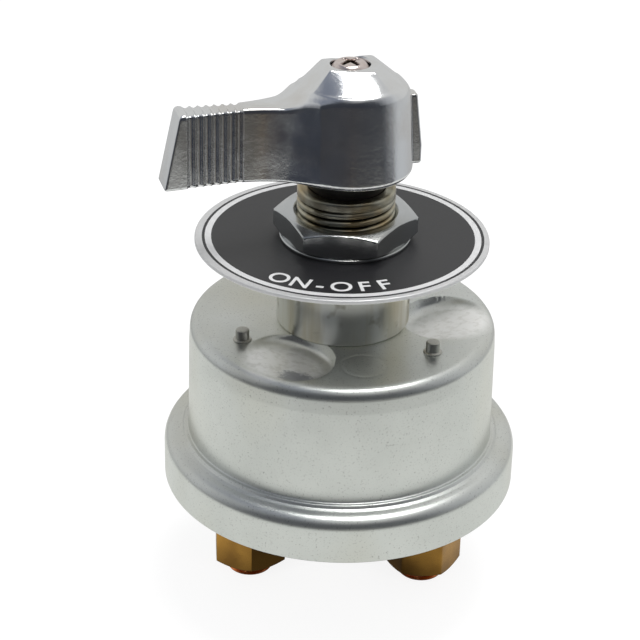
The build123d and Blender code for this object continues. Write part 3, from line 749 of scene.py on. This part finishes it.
def crown_table():
    """Heights of the hub's top over a grid: flat round the screw, then faces ruled down to the rim."""
    u, v = np.meshgrid(np.arange(table_low[0], 16.4, table_step), np.arange(table_low[1], 13.2, table_step),
                       indexing="ij")
    side = np.abs(v)
    heights = np.full(u.shape, hub["land"])
    for (x0, y0), (x1, y1), (a0, a1), (h0, h1, h2) in crown_faces:
        before, best = None, np.full(u.shape, np.nan)
        for t in np.linspace(0, 1, 61):
            x, y = x0 + (x1 - x0) * t, y0 + (y1 - y0) * t
            turned_by = radians(a0 + (a1 - a0) * t)
            rim_x, rim_y = hub["shift"] + hub["radius"] * cos(turned_by), hub["radius"] * sin(turned_by)
            rim_z = h0 + (h2 - h0) * t + 4 * (h1 - (h0 + h2) / 2) * t * (1 - t)
            run_x, run_y = rim_x - x, rim_y - y
            aside = (u - x) * run_y - (side - y) * run_x
            along = ((u - x) * run_x + (side - y) * run_y) / (run_x**2 + run_y**2)
            height = hub["land"] + (rim_z - hub["land"]) * along
            if before is not None:
                crossed = (aside * before[0] <= 0) & (along > 0) & np.isnan(best)
                part = before[0] / np.where(before[0] == aside, 1, before[0] - aside)
                best = np.where(crossed, before[1] + (height - before[1]) * part, best)
            before = aside, height
        heights = np.where(np.isnan(best), heights, best)
    behind = np.clip((-v - 3.0) / 4.5, 0, 1) * np.clip((11.5 - u) / 4, 0, 1)
    heights = heights - hub["back_drop"] * behind * (2 - behind)
    weights = np.exp(-(np.arange(-6, 7) / 2.4)**2)
    for axis in (0, 1):
        wide = np.pad(heights, [(6, 6) if a == axis else (0, 0) for a in (0, 1)], mode="edge")
        slices = [np.take(wide, range(k, k + heights.shape[axis]), axis=axis) for k in range(13)]
        heights = sum(w * s for w, s in zip(weights, slices)) / weights.sum()
    return heights


crown = crown_table()


def crown_height(u, v):
    """Height of the hub's top at any place, read between the table's points."""
    p = np.clip((u - table_low[0]) / table_step, 0, crown.shape[0] - 1.001)
    q = np.clip((v - table_low[1]) / table_step, 0, crown.shape[1] - 1.001)
    i, j = p.astype(int), q.astype(int)
    a, b = p - i, q - j
    return (crown[i, j] * (1 - a) * (1 - b) + crown[i + 1, j] * a * (1 - b)
            + crown[i, j + 1] * (1 - a) * b + crown[i + 1, j + 1] * a * b)


def rounder(a, b, width):
    """The larger of two fields, with a rounded edge where they meet."""
    return -softer(-a, -b, width)


def handle_field(u, v, z):
    """Negative inside the handle, zero on its skin; u runs along the lever and z up from its foot."""
    width = np.abs(v)
    hub_wall = (np.hypot(u - hub["shift"], v) - hub["foot"] + hub["draft"] * z) * 0.998
    waist = arm["waist"] + arm["flare"] * np.exp(-arm["rate"] * (np.maximum(u, arm["start"]) - arm["start"]))
    arm_wall = np.maximum((width - waist) * 0.9, np.maximum(3 - u, u - grip["start"] - 0.4))
    rib_number = np.clip(np.round((u - grip["start"]) / rib["pitch"] - 0.5), 0, rib["count"] - 1)
    rib_place = grip["start"] + (rib_number + 0.5) * rib["pitch"]
    grip_half = grip["half"] + grip["flare"] * (u - grip["start"])
    groove_out = grip["half"] + grip["flare"] * (rib_place - grip["start"]) + rib["radius"] - rib["depth"]
    side_groove = rib["radius"] - np.hypot(u - rib_place, width - groove_out)
    top_groove = rib["radius"] - np.hypot(u - rib_place, z - arm["top"] - rib["radius"] + rib["depth"] * 0.8)
    end_face = (u - grip["foot"] + grip["lean"] * z) * 0.979
    grip_wall = rounder(np.maximum(width - grip_half, grip["start"] - u), end_face, 0.45)
    grip_wall = rounder(grip_wall, side_groove, 0.22)
    wall = softer(hub_wall, arm_wall, 2.4)
    wall = softer(wall, grip_wall, 0.12)
    top = -softer(-crown_height(u, v), -arm["top"], 0.01 + 2 * np.clip((u - 6) / 3, 0, 1))
    top = np.where(u > 15, arm["top"], top)
    on_edge = np.exp(-((hub_wall + bead["inside"]) / bead["width"])**2)
    top = top + bead["height"] * on_edge * (u < bead["end"])
    skin_field = rounder(wall, (z - top) * 0.8, 0.75)
    skin_field = np.where(u > grip["start"] - 1, rounder(skin_field, top_groove, 0.22), skin_field)
    foot_round = 1.5 - 1.1 * np.clip((u - 8) / 4, 0, 1)
    skin_field = rounder(skin_field, -z, foot_round)
    lug_slope = (-u - lug["foot"] + np.maximum(z - 4, 0) * lug["lean"]) * 0.99
    lug_field = rounder(width - lug["half"], lug_slope, 0.6)
    lug_field = rounder(lug_field, np.maximum(z - lug["top"], lug["low"] - z), 0.4)
    lug_field = np.maximum(lug_field, u + 5)
    skin_field = softer(skin_field, lug_field, 0.5)
    out = np.hypot(u, v)
    counterbore = np.maximum(out - bore["radius"], hub["land"] - bore["depth"] - z)
    skin_field = rounder(skin_field, -counterbore, 0.45)
    skin_field = np.maximum(skin_field, bore["hole"] - out)
    socket = np.maximum(np.maximum(np.abs(u), width) - square["half"], z - square["top"])
    return np.maximum(skin_field, -socket)


def field_slope(field, points, reach):
    """Slope of a field at many points."""
    slope = np.zeros_like(points)
    for axis in range(3):
        ahead, behind = points.copy(), points.copy()
        ahead[:, axis] += reach
        behind[:, axis] -= reach
        slope[:, axis] = (field(*ahead.T) - field(*behind.T)) / (2 * reach)
    return slope


def cast_skin(name, field, low, high, step):
    """Mesh of the zero skin of a field in mm, with one point in each grid cell that it crosses."""
    lines = [np.arange(a, b + step, step) for a, b in zip(low, high)]
    values = field(*np.meshgrid(*lines, indexing="ij"))
    inside = values < 0
    size = [n - 1 for n in inside.shape]
    corner_sum = sum(inside[i:i + size[0], j:j + size[1], k:k + size[2]].astype(np.int8)
                     for i in (0, 1) for j in (0, 1) for k in (0, 1))
    cells = np.argwhere((corner_sum > 0) & (corner_sum < 8))
    number = np.full(size, -1)
    number[tuple(cells.T)] = np.arange(len(cells))
    total, count = np.zeros((len(cells), 3)), np.zeros((len(cells), 1))
    for axis in range(3):
        one, two = [a for a in range(3) if a != axis]
        for i in (0, 1):
            for j in (0, 1):
                first = cells.copy()
                first[:, one] += i
                first[:, two] += j
                second = first.copy()
                second[:, axis] += 1
                fa, fb = values[tuple(first.T)], values[tuple(second.T)]
                crossed = ((fa < 0) != (fb < 0))[:, None]
                t = np.where(crossed[:, 0], fa / np.where(fa == fb, 1, fa - fb), 0)[:, None]
                total += np.where(crossed, first + (second - first) * t, 0)
                count += crossed
    points = np.array([line[0] for line in lines]) + total / count * step
    for _ in range(4):
        slope = field_slope(field, points, 0.03)
        move = field(*points.T)[:, None] * slope / (np.sum(slope**2, axis=1)[:, None] + 1e-6)
        points = points - move * np.minimum(1, 0.15 / (np.linalg.norm(move, axis=1)[:, None] + 1e-9))
    faces = []
    for axis in range(3):
        one, two = [(1, 2), (2, 0), (0, 1)][axis]
        near = [slice(1, -1)] * 3
        near[axis] = slice(None, -1)
        far = list(near)
        far[axis] = slice(1, None)
        change = inside[tuple(near)].astype(int) - inside[tuple(far)].astype(int)
        spots = np.argwhere(change != 0)
        sign = change[tuple(spots.T)]
        base = spots + 1
        base[:, axis] -= 1
        corners = []
        for i, j in ((-1, -1), (0, -1), (0, 0), (-1, 0)):
            corner = base.copy()
            corner[:, one] += i
            corner[:, two] += j
            corners.append(number[tuple(corner.T)])
        quad = np.stack(corners, axis=1)
        quad[sign < 0] = quad[sign < 0][:, ::-1]
        faces.append(quad)
    mesh = bpy.data.meshes.new(name)
    mesh.from_pydata((points * MM).tolist(), [], np.concatenate(faces).tolist())
    mesh.shade_smooth()
    slope = field_slope(field, points, 0.10)
    slope /= np.linalg.norm(slope, axis=1)[:, None] + 1e-12
    mesh.normals_split_custom_set_from_vertices(slope.tolist())
    made = bpy.data.objects.new(name, mesh)
    bpy.context.scene.collection.objects.link(made)
    return made


lever = cast_skin("lever_handle", handle_field, (-15.6, -12.7, -0.6), (36.9, 12.7, 22.2), 0.26)
lever_seat = Matrix.Rotation(radians(lever_turn), 4, "Z") @ Matrix.Translation((0, 0, handle_foot * MM))
lever.data.transform(lever_seat)
chrome_finish, tree, shader, place = metal("chrome", (0.80, 0.81, 0.82), 0.14)
smears = fade(tree, noise(tree, place, 140, 4), 0.35, 0.7, 0.12, 0.24)
tree.links.new(smears, shader.inputs["Roughness"])
tarnish = ramp(tree, noise(tree, place, 90, 5), [(0.50, 0), (0.72, 0.6)])
chrome = blend(tree, tarnish, (0.82, 0.83, 0.84), (0.70, 0.66, 0.61))
pits = ramp(tree, noise(tree, place, 1500, 4, 0.8), [(0.66, 0), (0.72, 0.5)])
colour_in(tree, shader, blend(tree, pits, chrome, (0.25, 0.24, 0.23)))
skin_waves = roughen(tree, shader, noise(tree, place, 330, 2, 0.5), 0.30, 0.00005)
roughen(tree, shader, noise(tree, place, 1300, 2, 0.6), 0.7, 0.00003, skin_waves)
fit_out(lever, chrome_finish, "rotor", "handle_chrome", "handle")


# Handle screw
# Pan head screw with a cross recess, nickel plated and slightly pink, over a split lock washer.
# The recess is coloured dark below its rim.
low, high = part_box("handle_screw")
head_top, head_foot = high.z / MM, high.z / MM - 2.25
shank_radius = 2.05
recess = {"span": 2.25, "half": 0.46, "depth": 1.45, "turn": 45, "wall_slope": 14}


def cross_cut(x, y, z):
    """Cuts the cross recess into the head's top."""
    c, s = cos(radians(recess["turn"])), sin(radians(recess["turn"]))
    p, q = np.abs(x * c + y * s), np.abs(y * c - x * s)
    wing = np.minimum(np.maximum(p - recess["half"], q - recess["span"]),
                      np.maximum(q - recess["half"], p - recess["span"]))
    out = np.hypot(x, y)
    floor_height = head_top - recess["depth"] * np.clip(1.25 - out / recess["span"], 0.25, 1)
    cut_height = floor_height + np.maximum(wing, 0) * recess["wall_slope"]
    return x, y, np.where(z > head_foot + 0.6, softer(z, cut_height, 0.12), z)


head_outline = rounded([
    (shank_radius, head_foot - 0.4, 0), (2.06, head_foot, 0), (3.49, head_foot, 0.1),
    (3.49, head_foot + 1.1, 0.5), (2.8, head_top - 0.25, 0.9), (0.01, head_top, 0)],
    spacing=0.08, closed=False)
shank_outline = rounded([
    (0.01, low.z / MM, 0), (shank_radius, low.z / MM, 0.3), (shank_radius, head_foot - 1, 0)],
    spacing=1.0, closed=False)
screw_outline = np.concatenate([shank_outline, head_outline])
screw = turned("cross_screw", screw_outline, sides=144, shape=cross_cut, closed=False)
screw_finish, tree, shader, place = metal("nickel_screw", (0.78, 0.68, 0.65), 0.24)
height = node(tree, "SeparateXYZ", {"Vector": place}).outputs["Z"]
deep_down = fade(tree, height, (head_top - 0.62) * MM, (head_top - 0.34) * MM, 1.0, 0.0)
within = fade(tree, off_axis(tree, place), 0.0023, 0.0025, 1.0, 0.0)
plated = blend(tree, noise(tree, place, 900, 4), (0.84, 0.77, 0.74), (0.66, 0.54, 0.50))
# The recess is coloured near black deeper down than its rim.
dark_in_recess = maths(tree, "MULTIPLY", deep_down, within)
colour_in(tree, shader, blend(tree, dark_in_recess, plated, (0.055, 0.045, 0.032)))
roughen(tree, shader, noise(tree, place, 2600), 0.25, 0.00002)
fit_out(screw, screw_finish, "rotor", "screw_steel", "handle_screw")
dress("screw_lock_washer", screw_finish)

bpy.context.view_layer.update()
